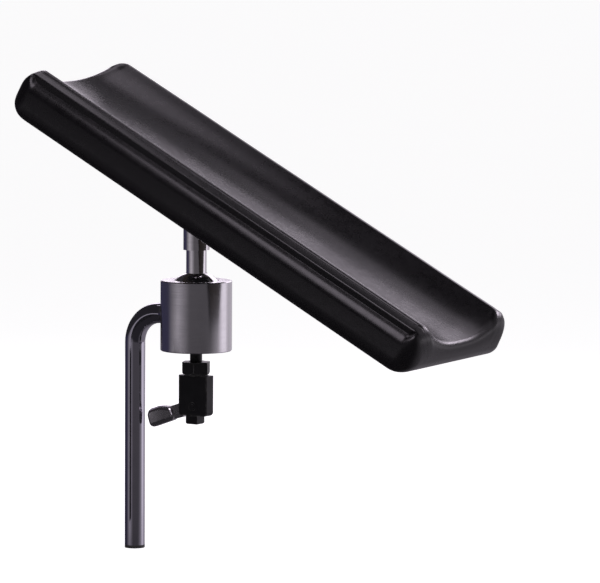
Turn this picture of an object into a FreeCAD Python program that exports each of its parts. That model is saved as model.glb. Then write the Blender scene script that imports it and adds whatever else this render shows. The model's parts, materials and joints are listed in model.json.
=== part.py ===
"""Arm trough of a treatment chair on a clamped ball joint, carried by a bent tube.

Frame: +Z up along the tube's upright leg, +X along the pad towards its low front end.
The origin is the centre of the tube's lower end.  All sizes are in millimetres.
Shapes are drawn with the ball's axis at x = 0 and moved to the origin as they are written.
"""
import FreeCAD, Part
import math
import os

V = FreeCAD.Vector
X, Y, Z = V(1, 0, 0), V(0, 1, 0), V(0, 0, 1)

# ---- driving dimensions -------------------------------------------------------------------
# bent tube
TUBE_R = 10.0
TUBE_WALL = 2.0
BEND_R = 30.0
SOCKET_FLOOR = 0.8        # wall left between the tube's end and the housing's bore
POST_OFFSET = 72.0        # from the ball's axis to the upright leg
ARM_Z = 235.0             # height of the tube's level leg
PLUG_FLANGE = 3.0
PLUG_DEPTH = 14.0
PLUG_WALL = 2.0
BEAD_WIDTH, BEAD_RISE = 3.1, 3.2

# ball clamp
HOUSING_R = 35.0
HOUSING_H = 69.0
BORE_R = 31.0
OPENING_R = 21.8
BALL_R = 28.0
BALL_DEPTH = 18.5         # ball centre below the housing's top face
LINER_WALL = 1.5
BALL_GAP = 0.3
LIP_LATITUDE = 30.0
BASE_PLUG_H = 8.0
CUP_RIM_LATITUDE = -22.0
CUP_BOTTOM = 16.6         # heights above the housing's lower face
SPRING_STACK = 4
SPRING_R = 14.0
SPRING_T = 0.8
SPRING_CONE = 0.25
SPRING_PITCH = SPRING_T + SPRING_CONE + 0.05
SPRING_HOLE_R = 2.9
THRUST_T = 2.0
RIM_CHAMFER = 0.8
WRENCH_HOLE_R = 2.5
WRENCH_HOLE_AT = 22.0
WRENCH_HOLE_DEPTH = 4.0
UPPER_LINER = (8.0, 27.0)      # latitudes on the ball
LOWER_LINER = (-62.0, -35.0)
SEAT_RING_FOOT = 2.5           # above the ball's centre

# neck, nut and bracket, measured down from the housing's lower face
NECK_R = 6.0
NECK_THREAD_R = 4.5
NECK_BORE_R = 2.8
NECK_STEP = 11.0
NECK_END = 36.0
NUT_CORNER_R = 14.5
NUT_BOTTOM = 23.2
NUT_TURN = 23.5           # degrees from -Y to the nearest corner
WASHER_R = 11.5
BRACKET_TOP = 24.3
BRACKET_BOTTOM = 64.0
BRACKET_HALF_X = 16.5
BRACKET_HALF_Y = 6.5
BRACKET_CORNER_R = 4.0    # its two lower corners, seen from the front
SLOT_HALF_Y = 3.5
SLOT_END_X = 11.5
FOOT_BOTTOM = 72.3
FOOT_X = (-7.6, 5.8)

# cam lever
PIN_DROP = 54.7
PIN_R = 2.5
BUSH_R = 4.0
PIN_CLEARANCE = 0.05
PIN_STICK_OUT = 1.6
CLIP_WIDTH, CLIP_T = 1.8, 0.8
CAM_R = 7.6
CAM_OFFSET = 1.083
CAM_ANGLE = 62.5          # degrees from +Z towards +X
ROD_R = 2.5
ROD_GAP = 0.3
SHOULDER_R, SHOULDER_T = 4.1, 0.5
LEVER_DROP_ANGLE = 17.2
LEVER_HALF_Y = 3.2
SHANK = [(0, 3.2), (9, 3.2), (17, 6.9), (30, 6.5), (45, 5)]    # distance from the pin, half height
PADDLE = [                # distance from the pin, height, corner radius
    (26.0, 6.2, 5.0), (39.5, 10.2, 14.0), (56.4, 9.6, 7.5), (56.4, -8.8, 5.0), (24.0, -7.3, 5.0),
]
PADDLE_HALF_Y = 6.0
PADDLE_ROUND = 4.2

# stem and sleeve
STEM_R = 10.0
STEM_SPIGOT_R = 8.0
BALL_FLAT = 25.6          # flat on the ball under the stem's shoulder, above the ball centre
SLEEVE_R = 12.8
SLEEVE_START = 29.9       # above the housing's top face
STEM_TOP = 62.0           # above the housing's top face
GRUB_R = 2.5
GRUB_SOCKET_R = 1.3
GRUB_HEIGHTS = (9.0, 21.0)     # above the sleeve's lower end
SPIGOT_DEPTH = 5.0             # the spigot's end below the ball's centre

# pad
PAD_LENGTH = 510.0
PAD_REAR = 188.0          # from the stem's axis to the high rear end, along the pad
PAD_HALF_W = 89.5
PAD_PITCH = 28.0
PAD_ROLL = 1.6            # its +Y side set slightly up
PAD_YAW = 0.8
PAD_RISE = 79.2           # underside above the housing's top face, on the stem's axis
SKIN_T = 2.2
FOAM_GAP = 0.1
PLAN_CORNER_R = 24.0
SIDE_CORNER_R = 12.0
LIP_TOP = 51.5
TROUGH_FLOOR = 29.5
BOARD_T = 12.0
BOARD_MARGIN = 42.0
BOARD_HALF_W = 60.0
PLATE_LENGTH = 120.0
PLATE_WIDTH = 80.0
PLATE_T = 5.0
SCREW_R = 3.0
SCREW_X, SCREW_Y = 46.0, 28.0
SCREW_HEAD_R, SCREW_HEAD_H = 5.5, 3.6
SCREW_WASHER_R, SCREW_WASHER_T = 7.0, 1.5
TEE_FLANGE_R, TEE_FLANGE_T, TEE_R = 9.0, 1.4, 4.2

# ---- derived places -----------------------------------------------------------------------
HOUSING_Z = ARM_Z - HOUSING_H / 2
TOP_Z = HOUSING_Z + HOUSING_H
BALL_Z = TOP_Z - BALL_DEPTH
PIN_Z = HOUSING_Z - PIN_DROP
LINER_IN_R = BALL_R + BALL_GAP
LINER_OUT_R = LINER_IN_R + LINER_WALL
SEAT_R = LINER_OUT_R + BALL_GAP
LIP_R = BALL_R + 2 * BALL_GAP
THRUST_Z = HOUSING_Z + CUP_BOTTOM - SPRING_STACK * SPRING_PITCH - THRUST_T
LIP_Z = BALL_Z + LIP_R * math.sin(math.radians(LIP_LATITUDE))
PAD_FRONT = PAD_LENGTH - PAD_REAR
PAD_TURN = FreeCAD.Rotation(Z, PAD_YAW) * FreeCAD.Rotation(Y, PAD_PITCH) * FreeCAD.Rotation(X, PAD_ROLL)
PAD_PLACE = FreeCAD.Placement(V(0, 0, TOP_Z + PAD_RISE), PAD_TURN)


def cylinder(radius, z0, z1, x=0.0, y=0.0):
    return Part.makeCylinder(radius, z1 - z0, V(x, y, z0), Z)


def block(x0, x1, y0, y1, z0, z1):
    return Part.makeBox(x1 - x0, y1 - y0, z1 - z0, V(x0, y0, z0))


def ring(outer, inner, z0, z1):
    return cylinder(outer, z0, z1).cut(cylinder(inner, z0 - 1, z1 + 1))


def shell_zone(inner, outer, low_deg, high_deg):
    """Spherical zone about the ball's centre between two latitudes."""
    def point(radius, deg):
        angle = math.radians(deg)
        return V(radius * math.cos(angle), 0, BALL_Z + radius * math.sin(angle))
    mid = (low_deg + high_deg) / 2
    edges = [
        Part.LineSegment(point(inner, low_deg), point(outer, low_deg)).toShape(),
        Part.Arc(point(outer, low_deg), point(outer, mid), point(outer, high_deg)).toShape(),
        Part.LineSegment(point(outer, high_deg), point(inner, high_deg)).toShape(),
        Part.Arc(point(inner, high_deg), point(inner, mid), point(inner, low_deg)).toShape(),
    ]
    return Part.Face(Part.Wire(edges)).revolve(V(0, 0, 0), Z, 360)


def polygon_plate(points_xz, y0, y1):
    """Flat plate from an outline in the XZ plane."""
    points = [V(x, y0, z) for x, z in points_xz]
    return Part.Face(Part.makePolygon(points + points[:1])).extrude(V(0, y1 - y0, 0))


def round_corners(plate, corners_xz, radii):
    """Rounds the plate's edges along Y nearest to the given corners."""
    for (x, z), radius in zip(corners_xz, radii):
        across = [e for e in plate.Edges if abs(e.tangentAt(e.FirstParameter).y) > 0.9]
        edge = min(across, key=lambda e: e.CenterOfMass.distanceToPoint(V(x, 0, z)))
        plate = plate.makeFillet(radius, [edge])
    return plate


# ---- bent tube ----------------------------------------------------------------------------
def tube_path():
    post = -POST_OFFSET
    corner = ARM_Z - BEND_R
    mid = BEND_R * (1 - math.sqrt(0.5))
    arm_end = -BORE_R - SOCKET_FLOOR
    return Part.Wire([
        Part.LineSegment(V(post, 0, PLUG_FLANGE), V(post, 0, corner)).toShape(),
        Part.Arc(V(post, 0, corner), V(post + mid, 0, ARM_Z - mid), V(post + BEND_R, 0, ARM_Z)).toShape(),
        Part.LineSegment(V(post + BEND_R, 0, ARM_Z), V(arm_end, 0, ARM_Z)).toShape(),
    ])


def swept_rod(radius):
    circle = Part.Wire(Part.makeCircle(radius, V(-POST_OFFSET, 0, PLUG_FLANGE), Z))
    return tube_path().makePipeShell([circle], True, True)


def post_tube():
    return swept_rod(TUBE_R).cut(swept_rod(TUBE_R - TUBE_WALL))


def post_plug():
    x = -POST_OFFSET
    bore = TUBE_R - TUBE_WALL
    flange = cylinder(TUBE_R, 0, PLUG_FLANGE, x)
    body = cylinder(bore, PLUG_FLANGE, PLUG_FLANGE + PLUG_DEPTH, x)
    relief = cylinder(bore - PLUG_WALL, PLUG_FLANGE, PLUG_FLANGE + PLUG_DEPTH + 1, x)
    plug = flange.fuse(body).cut(relief)
    return plug.removeSplitter()


def weld_bead():
    root = V(-HOUSING_R + BEAD_WIDTH / 2, 0, ARM_Z)
    bead = Part.makeCone(TUBE_R + BEAD_RISE, TUBE_R + 0.2, 1.5 * BEAD_WIDTH, root, V(-1, 0, 0))
    return bead.cut(cylinder(HOUSING_R, HOUSING_Z, TOP_Z)).cut(swept_rod(TUBE_R))


# ---- ball clamp ---------------------------------------------------------------------------
def clamp_housing():
    body = cylinder(HOUSING_R, HOUSING_Z, TOP_Z)
    rim = [e for e in body.Edges if isinstance(e.Curve, Part.Circle)]
    body = body.makeChamfer(RIM_CHAMFER, rim)
    body = body.cut(cylinder(BORE_R, HOUSING_Z - 1, LIP_Z))
    body = body.cut(cylinder(OPENING_R, LIP_Z - 1, TOP_Z + 1))
    body = body.cut(Part.makeSphere(LIP_R, V(0, 0, BALL_Z)))
    return body.cut(swept_rod(TUBE_R))


def seat_ring():
    body = cylinder(BORE_R, BALL_Z + SEAT_RING_FOOT, LIP_Z)
    return body.cut(Part.makeSphere(SEAT_R, V(0, 0, BALL_Z)))


def base_plug():
    plug = cylinder(BORE_R, HOUSING_Z, HOUSING_Z + BASE_PLUG_H)
    plug = plug.cut(cylinder(NECK_R, HOUSING_Z - 1, HOUSING_Z + BASE_PLUG_H + 1))
    for side in (-1, 1):
        hole_top = HOUSING_Z + WRENCH_HOLE_DEPTH
        plug = plug.cut(cylinder(WRENCH_HOLE_R, HOUSING_Z - 1, hole_top, side * WRENCH_HOLE_AT))
    return plug


def upper_liner():
    return shell_zone(LINER_IN_R, LINER_OUT_R, *UPPER_LINER)


def lower_liner():
    return shell_zone(LINER_IN_R, LINER_OUT_R, *LOWER_LINER)


def pressure_cup():
    rim_z = BALL_Z + SEAT_R * math.sin(math.radians(CUP_RIM_LATITUDE))
    body = cylinder(BORE_R - BALL_GAP, HOUSING_Z + CUP_BOTTOM, rim_z)
    return body.cut(Part.makeSphere(SEAT_R, V(0, 0, BALL_Z)))


def disc_springs():
    """Coned discs, turned over in turn, stacked down from the cup's foot."""
    springs = []
    for i in range(SPRING_STACK):
        z = HOUSING_Z + CUP_BOTTOM - (i + 1) * SPRING_PITCH
        inner_z, outer_z = (z + SPRING_CONE, z) if i % 2 == 0 else (z, z + SPRING_CONE)
        profile = [
            V(SPRING_HOLE_R, 0, inner_z),
            V(SPRING_R, 0, outer_z),
            V(SPRING_R, 0, outer_z + SPRING_T),
            V(SPRING_HOLE_R, 0, inner_z + SPRING_T),
        ]
        face = Part.Face(Part.makePolygon(profile + profile[:1]))
        springs.append(face.revolve(V(0, 0, 0), Z, 360))
    return Part.makeCompound(springs)


def thrust_washer():
    return ring(SPRING_R, ROD_R, THRUST_Z, THRUST_Z + THRUST_T)


def push_rod():
    """Rod from just above the cam to the cup, with a shoulder that lifts the thrust washer."""
    foot = PIN_Z + CAM_OFFSET * math.cos(math.radians(CAM_ANGLE)) + CAM_R + ROD_GAP
    rod = cylinder(ROD_R, foot, HOUSING_Z + CUP_BOTTOM - ROD_GAP)
    shoulder = cylinder(SHOULDER_R, THRUST_Z - SHOULDER_T, THRUST_Z)
    return rod.fuse(shoulder).removeSplitter()


# ---- neck, nut and bracket ----------------------------------------------------------------
def neck_tube():
    wide = cylinder(NECK_R, HOUSING_Z - NECK_STEP, HOUSING_Z + BASE_PLUG_H)
    thread = cylinder(NECK_THREAD_R, HOUSING_Z - NECK_END, HOUSING_Z - NECK_STEP)
    neck = wide.fuse(thread).removeSplitter()
    return neck.cut(cylinder(NECK_BORE_R, HOUSING_Z - NECK_END - 1, HOUSING_Z + BASE_PLUG_H + 1))


def lock_nut():
    z0, z1 = HOUSING_Z - NUT_BOTTOM, HOUSING_Z - NECK_STEP
    corners = []
    for i in range(6):
        angle = math.radians(NUT_TURN - 90 + 60 * i)
        corners.append(V(NUT_CORNER_R * math.cos(angle), NUT_CORNER_R * math.sin(angle), z0))
    hexagon = Part.Face(Part.makePolygon(corners + corners[:1])).extrude(V(0, 0, z1 - z0))
    height = z1 - z0
    bevel = NUT_CORNER_R * 0.14
    cone_up = Part.makeCone(NUT_CORNER_R + height, NUT_CORNER_R - bevel, height + bevel, V(0, 0, z0), Z)
    cone_down = Part.makeCone(NUT_CORNER_R - bevel, NUT_CORNER_R + height, height + bevel, V(0, 0, z0), Z)
    nut = hexagon.common(cone_up).common(cone_down)
    return nut.cut(cylinder(NECK_THREAD_R, z0 - 1, z1 + 1))


def lock_washer():
    return ring(WASHER_R, NECK_THREAD_R, HOUSING_Z - BRACKET_TOP, HOUSING_Z - NUT_BOTTOM)


def clamp_bracket():
    z0, z1 = HOUSING_Z - BRACKET_BOTTOM, HOUSING_Z - BRACKET_TOP
    body = block(-BRACKET_HALF_X, BRACKET_HALF_X, -BRACKET_HALF_Y, BRACKET_HALF_Y, z0, z1)
    body = round_corners(body, [(-BRACKET_HALF_X, z0), (BRACKET_HALF_X, z0)], [BRACKET_CORNER_R] * 2)
    upright = [e for e in body.Edges if abs(e.tangentAt(e.FirstParameter).z) > 0.9]
    body = body.makeFillet(1.2, upright)
    slot = polygon_plate([
        (-BRACKET_HALF_X - 1, z0 - 1),
        (SLOT_END_X, z0 - 1),
        (SLOT_END_X, PIN_Z + 10.7),
        (-2.0, PIN_Z + 14.7),
        (-BRACKET_HALF_X - 1, PIN_Z + 24.2),
    ], -SLOT_HALF_Y, SLOT_HALF_Y)
    body = body.cut(slot)
    body = body.cut(cylinder(NECK_THREAD_R, HOUSING_Z - NECK_END, z1 + 1))
    body = body.cut(cylinder(NECK_BORE_R, z0, HOUSING_Z - NECK_END + 1))
    pin_hole = Part.makeCylinder(PIN_R, 30, V(0, -15, PIN_Z), Y)
    return body.cut(pin_hole)


def stop_block():
    z0, z1 = HOUSING_Z - FOOT_BOTTOM, HOUSING_Z - BRACKET_BOTTOM
    foot = block(FOOT_X[0], FOOT_X[1], -BRACKET_HALF_Y, BRACKET_HALF_Y, z0, z1)
    lower = [e for e in foot.Edges if e.BoundBox.ZMax < z0 + 0.01]
    return foot.makeChamfer(1.0, lower)


def pivot_pin():
    half = BRACKET_HALF_Y + PIN_STICK_OUT
    return Part.makeCylinder(PIN_R, 2 * half, V(0, -half, PIN_Z), Y)


def pin_clips():
    clips = []
    for side in (-1, 1):
        start = V(0, side * BRACKET_HALF_Y, PIN_Z)
        clip = Part.makeCylinder(PIN_R + CLIP_WIDTH, CLIP_T, start, V(0, side, 0))
        clips.append(clip.cut(Part.makeCylinder(PIN_R, CLIP_T, start, V(0, side, 0))))
    return Part.makeCompound(clips)


# ---- cam lever ----------------------------------------------------------------------------
def lever_point(along, up):
    """Point in the lever's plane: along its axis from the pin, and square to it."""
    angle = math.radians(LEVER_DROP_ANGLE)
    x = -along * math.cos(angle) - up * math.sin(angle)
    z = PIN_Z - along * math.sin(angle) + up * math.cos(angle)
    return (x, z)


def cam_lever():
    angle = math.radians(CAM_ANGLE)
    cam_x = CAM_OFFSET * math.sin(angle)
    cam_z = PIN_Z + CAM_OFFSET * math.cos(angle)
    cam = Part.makeCylinder(CAM_R, 2 * LEVER_HALF_Y, V(cam_x, -LEVER_HALF_Y, cam_z), Y)
    upper = [lever_point(s, h) for s, h in SHANK]
    lower = [lever_point(s, -h) for s, h in reversed(SHANK)]
    shank = polygon_plate(upper + lower, -LEVER_HALF_Y, LEVER_HALF_Y)
    corners = [lever_point(s, h) for s, h, _ in PADDLE]
    paddle = polygon_plate(corners, -PADDLE_HALF_Y, PADDLE_HALF_Y)
    paddle = round_corners(paddle, corners, [radius for _, _, radius in PADDLE])
    outline = [e for e in paddle.Edges if abs(e.tangentAt(e.FirstParameter).y) < 0.1]
    paddle = paddle.makeFillet(PADDLE_ROUND, outline)
    lever = cam.fuse(shank).fuse(paddle)
    return lever.cut(Part.makeCylinder(BUSH_R, 20, V(0, -10, PIN_Z), Y))


def cam_bush():
    start = V(0, -LEVER_HALF_Y, PIN_Z)
    bush = Part.makeCylinder(BUSH_R, 2 * LEVER_HALF_Y, start, Y)
    return bush.cut(Part.makeCylinder(PIN_R + PIN_CLEARANCE, 2 * LEVER_HALF_Y, start, Y))


# ---- ball, stem and sleeve ----------------------------------------------------------------
def ball():
    body = Part.makeSphere(BALL_R, V(0, 0, BALL_Z))
    body = body.cut(cylinder(BALL_R, BALL_Z + BALL_FLAT, BALL_Z + BALL_R + 1))
    return body.cut(cylinder(STEM_SPIGOT_R, BALL_Z - SPIGOT_DEPTH, BALL_Z + BALL_R))


def stem():
    rod = cylinder(STEM_R, BALL_Z + BALL_FLAT, TOP_Z + STEM_TOP)
    spigot = cylinder(STEM_SPIGOT_R, BALL_Z - SPIGOT_DEPTH, BALL_Z + BALL_FLAT)
    return rod.fuse(spigot).removeSplitter()


def grub_axes():
    for up in GRUB_HEIGHTS:
        yield V(0, STEM_R, TOP_Z + SLEEVE_START + up)


def sleeve():
    tube = ring(SLEEVE_R, STEM_R, TOP_Z + SLEEVE_START, TOP_Z + PAD_RISE + 12)
    above = block(-60, 60, -60, 60, -PLATE_T, 60)
    above.Placement = PAD_PLACE
    tube = tube.cut(above)
    for start in grub_axes():
        tube = tube.cut(Part.makeCylinder(GRUB_R, 10, start - V(0, 1, 0), Y))
    return tube


def grub_screws():
    screws = []
    depth = SLEEVE_R - STEM_R
    for start in grub_axes():
        screw = Part.makeCylinder(GRUB_R, depth - 0.3, start, Y)
        socket = Part.makeCylinder(GRUB_SOCKET_R, depth, start + V(0, depth / 2, 0), Y)
        screws.append(screw.cut(socket).common(cylinder(SLEEVE_R, TOP_Z, TOP_Z + 80)))
    return Part.makeCompound(screws).cut(cylinder(STEM_R, TOP_Z, TOP_Z + 80))


# ---- pad, built level with the stem's axis through its own origin ----------------------------
def on_pad(shape):
    shape.Placement = PAD_PLACE.multiply(shape.Placement)
    return shape


def pad_section(u):
    """Cross-section outline at distance u: rounded sides, a groove below the rim, a trough."""
    side = PAD_HALF_W
    right = [
        ("line", (side - 10, 0)),
        ("arc", (side - 2.9, 2.9), (side, 10)),
        ("line", (side, 27)),
        ("arc", (side - 2.3, 33), (side - 7.5, 36.5)),
        ("line", (side - 8, 44.5)),
        ("arc", (side - 9.6, 49.4), (side - 13.5, LIP_TOP)),
        ("arc", (side - 16.6, LIP_TOP - 0.6), (side - 19.4, LIP_TOP - 2.3)),
    ]
    trough_end = right[-1][-1]
    edges = []
    here = V(u, 0, 0)
    for kind, *points in right:
        there = [V(u, v, n) for v, n in points]
        curve = Part.LineSegment(here, there[0]) if kind == "line" else Part.Arc(here, *there)
        edges.append(curve.toShape())
        here = there[-1]
    mirrored = [e.mirror(V(u, 0, 0), Y) for e in edges]
    floor = Part.Arc(V(u, -trough_end[0], trough_end[1]), V(u, 0, TROUGH_FLOOR), here).toShape()
    return Part.Wire(Part.__sortEdges__(edges + mirrored + [floor]))


def rounded_block(u0, u1, v0, v1, n0, n1, radius, axis):
    body = block(u0, u1, v0, v1, n0, n1)
    along = [e for e in body.Edges if abs(e.tangentAt(e.FirstParameter).dot(axis)) > 0.9]
    return body.makeFillet(radius, along)


def pad_body(inset):
    """The pad's outer form, or the same form moved inwards by inset."""
    wire = pad_section(-PAD_REAR + inset)
    if inset:
        wire = wire.makeOffset2D(-inset)
    body = Part.Face(wire).extrude(V(PAD_LENGTH - 2 * inset, 0, 0))
    u0, u1 = -PAD_REAR + inset, PAD_FRONT - inset
    half = PAD_HALF_W - inset
    plan = rounded_block(u0, u1, -half, half, -1, LIP_TOP + 1, PLAN_CORNER_R - inset, Z)
    side = rounded_block(u0, u1, -half - 1, half + 1, inset, LIP_TOP - inset, SIDE_CORNER_R - inset, Y)
    return body.common(plan).common(side)


def board_block(grow, n0, n1):
    u0, u1 = -PAD_REAR + BOARD_MARGIN - grow, PAD_FRONT - BOARD_MARGIN + grow
    half = BOARD_HALF_W + grow
    return rounded_block(u0, u1, -half, half, n0, n1, 14 + grow, Z)


def screw_places():
    for su in (-1, 1):
        for sv in (-1, 1):
            yield su * SCREW_X, sv * SCREW_Y


def pad_skin():
    skin = pad_body(0).cut(pad_body(SKIN_T))
    return on_pad(skin.cut(board_block(0, -1, SKIN_T + 1)))


def foam_core():
    core = pad_body(SKIN_T + FOAM_GAP).cut(board_block(FOAM_GAP, -1, BOARD_T + FOAM_GAP))
    for u, v in screw_places():
        core = core.cut(cylinder(TEE_FLANGE_R + FOAM_GAP, BOARD_T, BOARD_T + TEE_FLANGE_T + FOAM_GAP, u, v))
    return on_pad(core)


def base_board():
    board = board_block(0, 0, BOARD_T)
    for u, v in screw_places():
        board = board.cut(cylinder(TEE_R, -1, BOARD_T + 1, u, v))
    return on_pad(board)


def tee_nuts():
    nuts = []
    for u, v in screw_places():
        barrel = cylinder(TEE_R, 1.5, BOARD_T, u, v)
        flange = cylinder(TEE_FLANGE_R, BOARD_T, BOARD_T + TEE_FLANGE_T, u, v)
        nuts.append(barrel.fuse(flange).cut(cylinder(SCREW_R, 0, BOARD_T + 3, u, v)))
    return on_pad(Part.makeCompound(nuts))


def pad_plate():
    plate = rounded_block(-PLATE_LENGTH / 2, PLATE_LENGTH / 2, -PLATE_WIDTH / 2, PLATE_WIDTH / 2,
                          -PLATE_T, 0, 10, Z)
    for u, v in screw_places():
        plate = plate.cut(cylinder(SCREW_R + 0.3, -PLATE_T - 1, 1, u, v))
    return on_pad(plate)


def pad_screws():
    head_top = -PLATE_T - SCREW_WASHER_T
    screws = []
    for u, v in screw_places():
        head = cylinder(SCREW_HEAD_R, head_top - SCREW_HEAD_H, head_top, u, v)
        socket = cylinder(2.2, head_top - SCREW_HEAD_H - 1, head_top - SCREW_HEAD_H + 2.2, u, v)
        shank = cylinder(SCREW_R, head_top, BOARD_T - 0.5, u, v)
        screws.append(head.cut(socket).fuse(shank))
    return on_pad(Part.makeCompound(screws))


def screw_washers():
    washers = []
    for u, v in screw_places():
        disc = cylinder(SCREW_WASHER_R, -PLATE_T - SCREW_WASHER_T, -PLATE_T, u, v)
        washers.append(disc.cut(cylinder(SCREW_R, -PLATE_T - 3, 0, u, v)))
    return on_pad(Part.makeCompound(washers))


NODES = [
    post_tube, post_plug, weld_bead, clamp_housing, seat_ring, base_plug, neck_tube, lock_nut,
    lock_washer, clamp_bracket, stop_block, pivot_pin, pin_clips, push_rod, thrust_washer,
    disc_springs, pressure_cup, cam_lever, cam_bush, upper_liner, lower_liner, ball, stem, sleeve,
    grub_screws, pad_plate, pad_screws, screw_washers, tee_nuts, base_board, foam_core, pad_skin,
]

os.makedirs("parts", exist_ok=True)
for make in NODES:
    shape = make()
    shape.translate(V(POST_OFFSET, 0, 0))
    shape.exportStep("parts/" + make.__name__ + ".step")
    print(make.__name__, len(shape.Solids), round(shape.Volume), shape.isValid())
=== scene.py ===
"""Looks of a chair's forearm trough on a ball clamp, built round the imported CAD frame.

Everything is in metres in the CAD frame: +Z up along the post, +X along the pad to its low front end.
"""
import json
import math

import bpy
from mathutils import Matrix, Vector, noise

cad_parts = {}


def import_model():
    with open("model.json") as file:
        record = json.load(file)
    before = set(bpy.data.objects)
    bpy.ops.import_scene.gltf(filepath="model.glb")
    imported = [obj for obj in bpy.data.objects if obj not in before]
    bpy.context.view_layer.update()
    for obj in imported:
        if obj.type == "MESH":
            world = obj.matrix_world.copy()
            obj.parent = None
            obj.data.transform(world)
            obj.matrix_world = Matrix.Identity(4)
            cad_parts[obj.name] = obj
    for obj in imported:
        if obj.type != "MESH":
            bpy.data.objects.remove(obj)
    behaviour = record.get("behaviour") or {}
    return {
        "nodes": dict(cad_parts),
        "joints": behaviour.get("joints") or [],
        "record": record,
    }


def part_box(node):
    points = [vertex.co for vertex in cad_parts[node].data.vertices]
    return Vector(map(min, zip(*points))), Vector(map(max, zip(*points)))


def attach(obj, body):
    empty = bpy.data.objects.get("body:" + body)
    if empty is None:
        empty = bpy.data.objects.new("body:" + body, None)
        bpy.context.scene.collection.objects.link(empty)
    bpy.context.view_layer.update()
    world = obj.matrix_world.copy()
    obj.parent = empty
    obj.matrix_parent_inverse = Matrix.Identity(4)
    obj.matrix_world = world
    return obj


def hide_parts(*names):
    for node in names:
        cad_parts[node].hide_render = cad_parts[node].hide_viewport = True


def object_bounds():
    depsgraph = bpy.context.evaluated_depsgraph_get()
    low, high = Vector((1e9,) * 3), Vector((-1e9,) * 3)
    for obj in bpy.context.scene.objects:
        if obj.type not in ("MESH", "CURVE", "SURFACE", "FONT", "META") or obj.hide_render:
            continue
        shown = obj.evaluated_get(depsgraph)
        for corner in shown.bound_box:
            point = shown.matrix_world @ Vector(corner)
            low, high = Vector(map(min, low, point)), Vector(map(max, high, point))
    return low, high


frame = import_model()
CAD_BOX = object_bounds()
NODES = frame["nodes"]
JOINTS = {joint["name"]: joint for joint in frame["joints"]}

MM = 0.001
BALL_CENTRE = Vector(JOINTS["swivel"]["pos_m"])
HOUSING_LOW, HOUSING_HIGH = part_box("clamp_housing")

# ---- pad's own frame, in mm: u along its length, v across, n square to its underside ---------
PAD_REAR, PAD_FRONT = -188.0, 322.0
PAD_RISE = 79.2 * MM
PAD_ORIGIN = Vector((BALL_CENTRE.x, 0, HOUSING_HIGH.z + PAD_RISE))
PAD_YAW, PAD_PITCH, PAD_ROLL = (math.radians(d) for d in (0.8, 28.0, 1.6))
PAD_TURN = (Matrix.Rotation(PAD_YAW, 4, "Z") @ Matrix.Rotation(PAD_PITCH, 4, "Y")
            @ Matrix.Rotation(PAD_ROLL, 4, "X"))
PAD_PLACE = Matrix.Translation(PAD_ORIGIN) @ PAD_TURN


# ---- small helpers ------------------------------------------------------------------------
def mesh_object(name, verts, faces):
    mesh = bpy.data.meshes.new(name)
    mesh.from_pydata(verts, [], faces)
    mesh.validate()
    mesh.update()
    mesh.shade_smooth()
    obj = bpy.data.objects.new(name, mesh)
    bpy.context.scene.collection.objects.link(obj)
    return obj


def rounded_path(corners, step_deg):
    """Polyline through (x, y, radius) corners, each rounded by an arc of its radius."""
    points = []
    for i, (x, y, radius) in enumerate(corners):
        here = Vector((x, y))
        if radius <= 0 or i in (0, len(corners) - 1):
            points.append(here)
            continue
        back = (Vector(corners[i - 1][:2]) - here).normalized()
        ahead = (Vector(corners[i + 1][:2]) - here).normalized()
        half = math.acos(max(-1.0, min(1.0, back.dot(ahead)))) / 2
        reach = radius / math.tan(half)
        centre = here + (back + ahead).normalized() * (radius / math.sin(half))
        start = here + back * reach - centre
        turn = start.angle_signed(here + ahead * reach - centre)
        count = max(2, round(abs(math.degrees(turn)) / step_deg))
        for k in range(count + 1):
            angle = -turn * k / count
            c, s = math.cos(angle), math.sin(angle)
            points.append(centre + Vector((start.x * c - start.y * s, start.x * s + start.y * c)))
    return points


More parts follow.
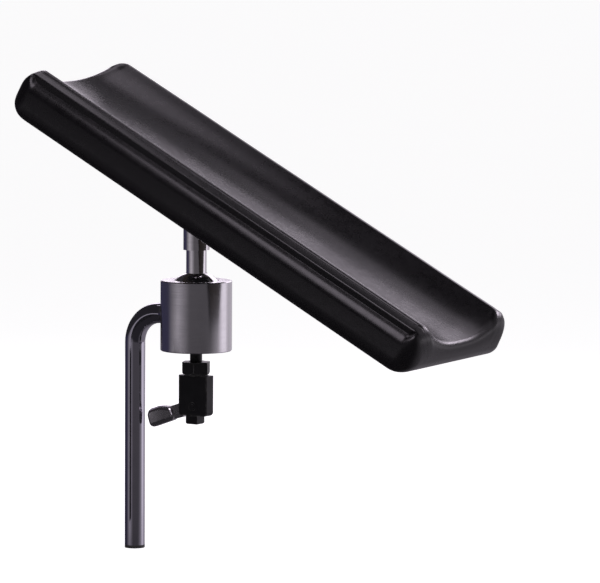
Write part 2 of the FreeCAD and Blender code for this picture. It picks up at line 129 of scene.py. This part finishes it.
# ---- node materials -------------------------------------------------------------------------
class Tree:
    """A material's node tree with short calls for the nodes used here."""

    def __init__(self, name):
        self.material = bpy.data.materials.new(name)
        self.material.use_nodes = True
        self.nodes = self.material.node_tree.nodes
        self.links = self.material.node_tree.links
        self.shader = self.nodes["Principled BSDF"]
        self.coords = self.nodes.new("ShaderNodeTexCoord").outputs["Object"]

    def put(self, socket, value):
        if isinstance(value, bpy.types.NodeSocket):
            self.links.new(value, socket)
        else:
            socket.default_value = value

    def stretch(self, x, y, z):
        node = self.nodes.new("ShaderNodeMapping")
        node.inputs["Scale"].default_value = (x, y, z)
        self.put(node.inputs["Vector"], self.coords)
        return node.outputs["Vector"]

    def noise(self, scale, detail=3.0, rough=0.55, coords=None):
        node = self.nodes.new("ShaderNodeTexNoise")
        self.put(node.inputs["Vector"], coords or self.coords)
        node.inputs["Scale"].default_value = scale
        node.inputs["Detail"].default_value = detail
        node.inputs["Roughness"].default_value = rough
        return node.outputs["Fac"]

    def cells(self, scale):
        node = self.nodes.new("ShaderNodeTexVoronoi")
        self.put(node.inputs["Vector"], self.coords)
        node.inputs["Scale"].default_value = scale
        return node.outputs["Distance"]

    def ramp(self, value, low, high, out_low=0.0, out_high=1.0):
        node = self.nodes.new("ShaderNodeMapRange")
        node.interpolation_type = "SMOOTHSTEP"
        self.put(node.inputs["Value"], value)
        for key, number in zip(("From Min", "From Max", "To Min", "To Max"), (low, high, out_low, out_high)):
            node.inputs[key].default_value = number
        return node.outputs["Result"]

    def math(self, operation, a, b):
        node = self.nodes.new("ShaderNodeMath")
        node.operation = operation
        self.put(node.inputs[0], a)
        self.put(node.inputs[1], b)
        return node.outputs[0]

    def mix(self, factor, a, b):
        node = self.nodes.new("ShaderNodeMix")
        node.data_type = "RGBA"
        self.put(node.inputs["Factor"], factor)
        self.put(node.inputs["A"], a)
        self.put(node.inputs["B"], b)
        return node.outputs["Result"]

    def edges(self, radius):
        """1 on sharp edges, 0 on flat stretches."""
        slight, full = 0.02, 0.25
        bevel = self.nodes.new("ShaderNodeBevel")
        bevel.samples = 4
        bevel.inputs["Radius"].default_value = radius
        geometry = self.nodes.new("ShaderNodeNewGeometry")
        cross = self.nodes.new("ShaderNodeVectorMath")
        cross.operation = "DISTANCE"
        self.put(cross.inputs[0], bevel.outputs["Normal"])
        self.put(cross.inputs[1], geometry.outputs["Normal"])
        return self.ramp(cross.outputs["Value"], slight, full)

    def bump(self, height, distance, strength=1.0, normal=None):
        node = self.nodes.new("ShaderNodeBump")
        node.inputs["Strength"].default_value = strength
        node.inputs["Distance"].default_value = distance
        self.put(node.inputs["Height"], height)
        if normal is not None:
            self.put(node.inputs["Normal"], normal)
        return node.outputs["Normal"]

    def finish(self, **values):
        for key, value in values.items():
            self.put(self.shader.inputs[key.replace("_", " ")], value)
        return self.material


def rgb(r, g, b):
    return (r, g, b, 1.0)


def skin_material():
    """Moulded black cover: fine leather-like grain and slight changes of gloss."""
    t = Tree("moulded_skin")
    broad = t.noise(9.0, 4.0)
    fine = t.noise(160.0, 3.0)
    pores = t.cells(1400.0)
    grain = t.math("ADD", t.math("MULTIPLY", pores, 0.6), t.math("MULTIPLY", fine, 0.4))
    colour = t.mix(broad, rgb(0.0014, 0.0012, 0.0016), rgb(0.0034, 0.0029, 0.0036))
    rough = t.math("ADD", t.ramp(broad, 0.3, 0.7, 0.25, 0.31), t.ramp(fine, 0.3, 0.7, -0.02, 0.03))
    soft = t.bump(t.noise(26.0, 2.0), 0.0006, 0.12)
    normal = t.bump(grain, 0.00004, 0.35, soft)
    return t.finish(Base_Color=colour, Roughness=rough, Normal=normal, IOR=1.47)


def steel_material(name, light, dark, rough_low, rough_high, lines=(40.0, 40.0, 2200.0), depth=0.00001):
    """Machined or polished steel: fine tool lines, smudges and paler worn edges."""
    t = Tree(name)
    smudge = t.noise(22.0, 5.0, 0.6)
    streak = t.noise(1.0, 3.0, 0.6, t.stretch(*lines))
    worn = t.edges(0.0006)
    base = t.mix(smudge, rgb(*dark), rgb(*light))
    colour = t.mix(t.math("MULTIPLY", worn, 0.5), base, rgb(*(min(1.0, 1.15 * c) for c in light)))
    gloss = t.ramp(smudge, 0.3, 0.75, rough_low, rough_high)
    rough = t.math("ADD", gloss, t.ramp(streak, 0.3, 0.7, -0.02, 0.03))
    normal = t.bump(streak, depth, 0.5)
    return t.finish(Base_Color=colour, Metallic=1.0, Roughness=rough, Normal=normal)


def black_metal_material():
    """Black oxide on steel, greyer where handled and along its edges."""
    t = Tree("black_oxide")
    mottle = t.noise(60.0, 5.0)
    fine = t.noise(900.0, 2.0)
    worn = t.math("MULTIPLY", t.edges(0.0007), t.ramp(t.noise(180.0, 3.0), 0.35, 0.65))
    base = t.mix(mottle, rgb(0.002, 0.002, 0.0023), rgb(0.005, 0.0047, 0.0055))
    colour = t.mix(t.math("MULTIPLY", worn, 0.5), base, rgb(0.10, 0.097, 0.095))
    rough = t.ramp(mottle, 0.3, 0.7, 0.30, 0.42)
    normal = t.bump(fine, 0.00003, 0.5)
    return t.finish(Base_Color=colour, Roughness=rough, Normal=normal, IOR=1.35)


def plastic_material(name, light, dark, rough=0.5):
    t = Tree(name)
    mottle = t.noise(40.0, 4.0)
    grain = t.noise(1500.0, 2.0)
    colour = t.mix(mottle, rgb(*dark), rgb(*light))
    roughness = t.ramp(mottle, 0.3, 0.7, rough - 0.05, rough + 0.06)
    return t.finish(Base_Color=colour, Roughness=roughness, Normal=t.bump(grain, 0.00004, 0.4))


def board_material():
    """Plywood faced with a dark resin film: a faint long grain under a satin coat."""
    t = Tree("filmed_plywood")
    bands = t.noise(2.0, 6.0, 0.6, t.stretch(6.0, 90.0, 6.0))
    pores = t.noise(9.0, 3.0, 0.6, t.stretch(20.0, 600.0, 20.0))
    colour = t.mix(bands, rgb(0.012, 0.009, 0.007), rgb(0.028, 0.021, 0.016))
    colour = t.mix(t.ramp(pores, 0.55, 0.75, 0.0, 0.5), colour, rgb(0.006, 0.005, 0.004))
    return t.finish(Base_Color=colour, Roughness=t.ramp(bands, 0.3, 0.7, 0.40, 0.55),
                    Normal=t.bump(pores, 0.00008, 0.5))


def foam_material():
    t = Tree("foam")
    holes = t.cells(700.0)
    colour = t.mix(holes, rgb(0.45, 0.40, 0.27), rgb(0.62, 0.57, 0.42))
    return t.finish(Base_Color=colour, Roughness=0.95, Normal=t.bump(holes, 0.0003, 0.7))


# ---- the pad's moulded cover ----------------------------------------------------------------
SIDE = 89.5            # half the pad's width at its side wall
ARC_STEP = 7.0         # degrees of arc between points of the outline
TROUGH_FLOOR, TROUGH_DEPTH, TROUGH_HALF = 29.5, 18.1, 64.0
TROUGH_POWER = 2.6     # above 2: flatter in the middle, steeper at the sides
UNDER_FLAT = 79.5
BOARD_HALF, BOARD_CORNER = 60.0, 14.0
BOARD_GAP = 0.6
POCKET = 13.6          # clears the board and its tee nuts
BOARD_U = (PAD_REAR + 42.0, PAD_FRONT - 42.0)
NOSE = 19.0            # height that both ends round off towards
UNDER_REACH = 24.0     # how far from an end the underside starts to round up
TROUGH_REACH, REACH_RISE = 6.5, 0.5      # the same for the trough's floor, and more per mm above it
ROUND_SHARE = 0.93
PLAN_REACH, PLAN_SHARE = 19.0, 0.19      # how the pad narrows in plan towards its ends
LIP_RISE = 1.6         # how much the trough's floor lifts before it rolls over the front end
LIP_NEAR, LIP_FAR = 16.0, 44.0
BEADS_GONE, BEADS_FULL = 8.0, 20.0       # distances from an end between which the beads fade in
RIM_LOW, RIM_HIGH = 28.0, 36.0           # heights, and places across, where that fading takes hold
RIM_INNER, RIM_OUTER = 61.0, 68.0
WAVE, WAVE_ABOVE = 0.22, 12.0            # soft unevenness of the cover above its lower edge
WAVE_ALONG, WAVE_ACROSS = 60, 45


def trough_height(v):
    return TROUGH_FLOOR + TROUGH_DEPTH * (abs(v) / TROUGH_HALF) ** TROUGH_POWER


def side_and_rim():
    """From the flat underside up the side, over the rim's two beads and down to the trough."""
    return rounded_path([
        (UNDER_FLAT, 0.0, 0),
        (SIDE - 0.8, 0.0, 9.5),          # lower edge
        (SIDE + 0.4, 15.0, 35.0),
        (SIDE - 0.6, 34.7, 13.0),        # shoulder
        (SIDE - 7.4, 40.2, 0.5),         # groove under the rim
        (SIDE - 6.7, 46.6, 2.0),         # outer bead
        (SIDE - 14.3, 49.3, 1.5),
        (SIDE - 15.1, 48.8, 1.0),        # crease between the beads
        (SIDE - 16.9, 50.9, 2.2),        # inner bead
        (SIDE - 21.2, 51.0, 3.2),
        (TROUGH_HALF, trough_height(TROUGH_HALF), 0),
    ], ARC_STEP)


def plain_rim(v):
    """Height of the smooth rim that the beads fade into at the ends."""
    inner, low, rise = 60.0, 26.0, 25.0
    x = min(1.0, max(0.0, (abs(v) - inner) / (SIDE + 0.4 - inner)))
    return low + rise * (1 - x ** 3) ** (1 / 3)


def half_section():
    """One side of the cross-section, from the underside's middle to the trough's middle."""
    trough_rows, spacing = 24, 0.9       # spacing below 1: rows a little closer near the rim
    trough = []
    for i in range(1, trough_rows + 1):
        v = TROUGH_HALF * (1 - i / trough_rows) ** spacing
        trough.append(Vector((v, trough_height(v))))
    pocket_rows = 30
    under = [Vector((BOARD_HALF * i / pocket_rows, 0)) for i in range(pocket_rows + 1)]
    # The first of these lies just outside the board's pocket, so the pocket's wall is steep.
    margin = [Vector((BOARD_HALF + d, 0)) for d in (0.01, 4.0, 8.0, 12.0, 16.0)]
    return under + margin + side_and_rim() + trough


def closing(distance, reach, share):
    """Share by which an end closes at this distance from it: a quarter ellipse of this reach."""
    if distance >= reach:
        return 0.0
    return share * (1 - math.sqrt(1 - (1 - distance / reach) ** 2))


def round_reach(n):
    """How far along the pad the end's rounding starts: further for what stands higher."""
    if n < NOSE:
        return UNDER_REACH
    return TROUGH_REACH + REACH_RISE * max(0.0, n - TROUGH_FLOOR)


def smooth(value, low, high):
    """0 at low, 1 at high, easing at both."""
    x = min(1.0, max(0.0, (value - low) / (high - low)))
    return x * x * (3 - 2 * x)


def board_window(u):
    """Half width of the board's pocket at u, and whether u is inside the pocket."""
    inside = min(u - BOARD_U[0], BOARD_U[1] - u) + BOARD_GAP
    corner = BOARD_CORNER + BOARD_GAP
    depth = min(max(inside, 0.0), corner)
    half = BOARD_HALF + BOARD_GAP - corner + math.sqrt(corner ** 2 - (corner - depth) ** 2)
    return half, inside > 0


def stations():
    """Places along the pad: close together round its ends and the pocket's corners."""
    length = PAD_FRONT - PAD_REAR
    middle_rows, between_rows = 60, 5
    end = [UNDER_REACH * (1 - math.cos(math.radians(a))) for a in range(0, 91, 3)]
    corner = BOARD_CORNER + BOARD_GAP
    start = BOARD_U[0] - BOARD_GAP - PAD_REAR
    pocket = [start - 0.01, start + 0.01] + [start + corner * (1 - math.cos(math.radians(a)))
                                             for a in range(10, 91, 10)]
    middle = [pocket[-1] + (length - 2 * pocket[-1]) * i / middle_rows
              for i in range(1, middle_rows)]
    between = [end[-1] + (pocket[0] - end[-1]) * i / between_rows for i in range(1, between_rows)]
    first = end + between + pocket
    return [PAD_REAR + d for d in first + middle + [length - d for d in reversed(first)]]


def pad_point(u, p):
    """Where the cross-section's point p lies at u, with the pocket, the lip and the round ends."""
    v, n = p
    if n == 0:
        half, inside = board_window(u)
        if abs(v) <= BOARD_HALF:
            v = v * half / BOARD_HALF
            n = POCKET if inside else 0.0
        else:
            spread = (abs(v) - BOARD_HALF) / (UNDER_FLAT - BOARD_HALF)
            v = math.copysign(half + (UNDER_FLAT - half) * spread, v)
    distance = min(u - PAD_REAR, PAD_FRONT - u)
    fade = 1 - smooth(distance, BEADS_GONE, BEADS_FULL)
    fade *= smooth(n, RIM_LOW, RIM_HIGH) * smooth(abs(v), RIM_INNER, RIM_OUTER)
    n += fade * (plain_rim(v) - n)
    if n > NOSE and abs(v) < TROUGH_HALF:
        near_front = 1 - smooth(PAD_FRONT - u, LIP_NEAR, LIP_FAR)
        n += LIP_RISE * near_front * (1 - (v / TROUGH_HALF) ** 2)
    v *= 1 - closing(distance, PLAN_REACH, PLAN_SHARE)
    n = NOSE + (n - NOSE) * (1 - closing(distance, round_reach(n), ROUND_SHARE))
    if p.y > WAVE_ABOVE:
        n += WAVE * noise.noise(Vector((u / WAVE_ALONG, v / WAVE_ACROSS, n / WAVE_ACROSS)))
    return Vector((u, v, n))


def end_cap(first, half_count, count):
    """Quads across an end, from each underside point to the one over it, on both sides."""
    faces = []
    for side in (1, -1):
        index = [first + (side * i) % count for i in range(half_count)]
        for i in range(half_count // 2):
            quad = [index[i], index[i + 1], index[-2 - i], index[-1 - i]]
            quad = list(dict.fromkeys(quad))
            if len(quad) > 2:
                faces.append(quad if side > 0 else quad[::-1])
    return faces


def pad_cover():
    """The closed cover, which stands for the CAD's skin and foam."""
    half = half_section()
    section = half + [Vector((-p.x, p.y)) for p in reversed(half[1:-1])]
    count = len(section)
    rows = stations()
    verts = [PAD_PLACE @ (pad_point(u, p) * MM) for u in rows for p in section]
    faces = []
    for i in range(len(rows) - 1):
        for j in range(count):
            k = (j + 1) % count
            faces.append([i * count + j, (i + 1) * count + j, (i + 1) * count + k, i * count + k])
    faces += end_cap(0, len(half), count)
    faces += [face[::-1] for face in end_cap((len(rows) - 1) * count, len(half), count)]
    cover = mesh_object("forearm_pad", verts, faces)
    cover.data.materials.append(skin_material())
    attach(cover, "arm")
    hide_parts("pad_skin", "foam_core")
    return cover


pad_cover()

# ---- finishes of the CAD nodes ---------------------------------------------------------------
POLISHED = steel_material("polished_steel", (0.72, 0.71, 0.72), (0.60, 0.59, 0.60), 0.10, 0.16)
TURNED = steel_material("turned_steel", (0.66, 0.65, 0.67), (0.56, 0.55, 0.57), 0.16, 0.24)
PLAIN = steel_material("machined_steel", (0.50, 0.49, 0.49), (0.36, 0.35, 0.35), 0.28, 0.42)
# The tube's chrome is painted darker and violet-tinted: painted shade and a painted reflection of dark
# violet surroundings, not a darker finish of the metal.
CHROME_PAINTED_DARKER = steel_material("chrome_painted_darker", (0.42, 0.41, 0.46), (0.36, 0.35, 0.40), 0.06, 0.11, (40, 40, 40),
                        0.000002)
LEVER = steel_material("handled_steel", (0.60, 0.59, 0.60), (0.46, 0.45, 0.46), 0.14, 0.24, (30, 30, 30))
ZINC = steel_material("zinc", (0.60, 0.61, 0.62), (0.46, 0.47, 0.49), 0.25, 0.38, (60, 60, 60))
SPRING = steel_material("spring_steel", (0.26, 0.24, 0.24), (0.16, 0.15, 0.16), 0.25, 0.4, (60, 60, 60))
BRONZE = steel_material("bronze", (0.60, 0.40, 0.20), (0.42, 0.27, 0.13), 0.3, 0.45, (60, 60, 60))
BLACK = black_metal_material()
BLACK_PLASTIC = plastic_material("black_plastic", (0.022, 0.022, 0.022), (0.012, 0.012, 0.012))
LINER = plastic_material("liner_plastic", (0.80, 0.80, 0.76), (0.70, 0.70, 0.66), 0.4)

FINISHES = {
    "chromed_tube": CHROME_PAINTED_DARKER, "polished_steel": POLISHED, "turned_steel": TURNED, "plain_steel": PLAIN,
    "zinc_steel": ZINC, "black_steel": BLACK, "lever_steel": LEVER, "spring_steel": SPRING, "bronze": BRONZE,
    "liner": LINER, "black_plastic": BLACK_PLASTIC, "board": board_material(), "foam": foam_material(),
}


def finish_nodes():
    """A finish for every CAD node but the skin, which the cover stands for."""
    slots = {part["node"]: part["material_slot"] for part in frame["record"]["subparts"]}
    for name, node in NODES.items():
        material = FINISHES.get(slots[name])
        if material is None:
            continue
        node.data.materials.clear()
        node.data.materials.append(material)


finish_nodes()

# ---- studio ----------------------------------------------------------------------------------
TARGET = Vector((BALL_CENTRE.x, 0, (HOUSING_LOW.z + HOUSING_HIGH.z) / 2))
VIEW_AZIMUTH, VIEW_ELEVATION, VIEW_ROLL = (math.radians(d) for d in (31.85, 5.18, 0.33))
VIEW_DISTANCE = 4.0
SENSOR, LENS = 36.0, 245.4
TARGET_ACROSS, TARGET_ABOVE = -0.1015, -0.0233      # metres the housing sits off the view's centre


def direction(azimuth, elevation):
    """Unit vector; azimuth 0 looks back along -Y and grows towards +X."""
    return Vector((math.sin(azimuth) * math.cos(elevation), -math.cos(azimuth) * math.cos(elevation),
                   math.sin(elevation)))


def camera():
    back = direction(VIEW_AZIMUTH, VIEW_ELEVATION)
    right = Vector((math.cos(VIEW_AZIMUTH), math.sin(VIEW_AZIMUTH), 0))
    up = back.cross(right)
    c, s = math.cos(VIEW_ROLL), math.sin(VIEW_ROLL)
    right, up = right * c + up * s, up * c - right * s
    place = TARGET + back * VIEW_DISTANCE - right * TARGET_ACROSS - up * TARGET_ABOVE
    data = bpy.data.cameras.new("camera")
    data.sensor_width = SENSOR
    data.lens = LENS
    data.clip_end = 200.0
    obj = bpy.data.objects.new("camera", data)
    rotation = Matrix((right, up, back)).transposed().to_4x4()
    obj.matrix_world = Matrix.Translation(place) @ rotation
    bpy.context.scene.collection.objects.link(obj)
    bpy.context.scene.camera = obj


WARM_MAUVE = (1.0, 0.90, 1.03)
# Each soft box: where it hangs, what it faces, its width and height, and how bright its face is.
PANELS = {
    "backdrop": ((0.28, 1.62, 0.98), (0.28, 0.0, 0.82), 1.6, 0.92, 1.28),
    "rear_backdrop": ((-1.00, 1.50, 0.98), (0.0, 0.0, 0.82), 0.9, 0.92, 1.8),
    "high_backdrop": ((0.55, 1.40, 1.90), (0.50, 0.0, 0.50), 1.2, 0.9, 0.60),
    "end_strip": ((0.84, 1.29, 0.80), (0.35, 0.0, 0.25), 0.45, 0.45, 6.0),
    "overhead": ((-0.32, 0.20, 1.55), (-0.1, 0.0, 0.45), 0.7, 0.8, 1.4),
    "key": ((0.40, -1.0, 1.20), (0.25, 0.0, 0.35), 0.75, 1.2, 2.5),
}


def panel(name, place, aim, width, height, brightness):
    """Soft box at place, facing aim; at brightness 1 its face is as bright as white."""
    data = bpy.data.lights.new(name, "AREA")
    data.shape = "RECTANGLE"
    data.size, data.size_y = width, height
    data.energy = 4 * brightness * width * height
    data.color = WARM_MAUVE
    obj = bpy.data.objects.new(name, data)
    obj.location = place
    obj.rotation_euler = (place - aim).to_track_quat("Z", "Y").to_euler()
    obj.visible_camera = False
    bpy.context.scene.collection.objects.link(obj)


def floor():
    """Pale floor that glows a little, so it stays near white, and isn't seen in reflections."""
    reach, low = 60, CAD_BOX[0][2]
    corners = [(-reach, -reach, low), (reach, -reach, low), (reach, reach, low), (-reach, reach, low)]
    obj = mesh_object("floor", corners, [(0, 1, 2, 3)])
    t = Tree("pale_floor")
    speckle = t.noise(3.0, 4.0)
    colour = t.mix(speckle, rgb(0.44, 0.44, 0.44), rgb(0.48, 0.48, 0.48))
    obj.data.materials.append(t.finish(Base_Color=colour, Roughness=0.9, Emission_Color=rgb(1, 1, 1),
                                       Emission_Strength=0.90))
    obj.visible_glossy = False


def flag():
    """A black card, seen only in reflections, that keeps the left window out of the lever and bracket."""
    left, right, bottom, top = -0.168, -0.060, -0.02, 0.165
    near, far = -0.345, -0.285
    corners = [(left, far, bottom), (right, near, bottom), (right, near, top), (left, far, top)]
    obj = mesh_object("flag", corners, [(0, 1, 2, 3)])
    t = Tree("black_card")
    mottle = t.noise(30.0, 3.0)
    colour = t.mix(mottle, rgb(0.010, 0.010, 0.012), rgb(0.016, 0.015, 0.018))
    obj.data.materials.append(t.finish(Base_Color=colour, Roughness=0.9))
    obj.visible_camera = False
    obj.visible_shadow = False
    obj.visible_diffuse = False


# Brightness of the room just under eye level, by degrees to the right of the camera's side.
ROOM = [(-180, 0.04), (-100, 0.05), (-80, 0.30), (-60, 0.58), (-20, 0.12), (50, 0.12), (75, 0.40),
        (95, 1.30), (110, 1.20), (125, 0.60), (160, 0.60), (180, 0.20)]
ROOM_WHITE = 1.4
ROOM_GREEN, ROOM_BLUE = 0.93, 1.03         # against red
SEAT_BLUE, SEAT_FROM = 1.8, -90            # bluer past here on the left, where a blue seat would stand
BAND_MIDDLE, BAND_FULL, BAND_GONE = -0.09, 0.045, 0.09
PALE_SIDE, PALE_FROM, PALE_FULL = (0.55, 0.83, 0.0), 0.1, 0.7
WALL_DARK, WALL_PALE = rgb(0.026, 0.024, 0.028), rgb(0.26, 0.24, 0.27)


def world():
    """A dim room with one band of windows and walls round the horizon, mirrored by the metal."""
    scene_world = bpy.data.worlds.new("studio")
    bpy.context.scene.world = scene_world
    scene_world.use_nodes = True
    nodes, links = scene_world.node_tree.nodes, scene_world.node_tree.links

    def math_node(operation, *values):
        node = nodes.new("ShaderNodeMath")
        node.operation = operation
        for socket, value in zip(node.inputs, values):
            if isinstance(value, bpy.types.NodeSocket):
                links.new(value, socket)
            else:
                socket.default_value = value
        return node.outputs[0]

    def step(value, low, high):
        node = nodes.new("ShaderNodeMapRange")
        node.interpolation_type = "SMOOTHSTEP"
        links.new(value, node.inputs["Value"])
        node.inputs["From Min"].default_value = low
        node.inputs["From Max"].default_value = high
        return node.outputs["Result"]

    def mix_node(factor):
        node = nodes.new("ShaderNodeMix")
        node.data_type = "RGBA"
        links.new(factor, node.inputs["Factor"])
        return node

    coords = nodes.new("ShaderNodeTexCoord")
    split = nodes.new("ShaderNodeSeparateXYZ")
    links.new(coords.outputs["Generated"], split.inputs[0])
    x, y, z = split.outputs
    azimuth = math_node("ARCTAN2", x, math_node("MULTIPLY", y, -1.0))
    turns = math_node("DIVIDE", math_node("SUBTRACT", azimuth, VIEW_AZIMUTH), 2 * math.pi)
    ramp = nodes.new("ShaderNodeValToRGB")
    links.new(math_node("FRACT", math_node("ADD", turns, 1.5)), ramp.inputs["Fac"])
    stops = ramp.color_ramp.elements
    stops.remove(stops[1])
    for i, (degrees, brightness) in enumerate(ROOM):
        stop = stops.new((degrees + 180) / 360) if i else stops[0]
        level = brightness / ROOM_WHITE
        blue = SEAT_BLUE if degrees < SEAT_FROM else ROOM_BLUE
        stop.color = rgb(level, ROOM_GREEN * level, blue * level)
    band = step(math_node("ABSOLUTE", math_node("SUBTRACT", z, BAND_MIDDLE)), BAND_FULL, BAND_GONE)
    behind = nodes.new("ShaderNodeVectorMath")
    behind.operation = "DOT_PRODUCT"
    links.new(coords.outputs["Generated"], behind.inputs[0])
    behind.inputs[1].default_value = PALE_SIDE
    walls = mix_node(step(behind.outputs["Value"], PALE_FROM, PALE_FULL))
    walls.inputs["A"].default_value = WALL_DARK
    walls.inputs["B"].default_value = WALL_PALE
    fill = mix_node(band)
    links.new(ramp.outputs["Color"], fill.inputs["A"])
    links.new(walls.outputs["Result"], fill.inputs["B"])
    background = nodes["Background"]
    links.new(fill.outputs["Result"], background.inputs["Color"])
    background.inputs["Strength"].default_value = ROOM_WHITE


floor()
world()
for panel_name, (place, aim, *sizes) in PANELS.items():
    panel(panel_name, Vector(place), Vector(aim), *sizes)
flag()
camera()
bpy.context.scene.view_settings.view_transform = "Standard"
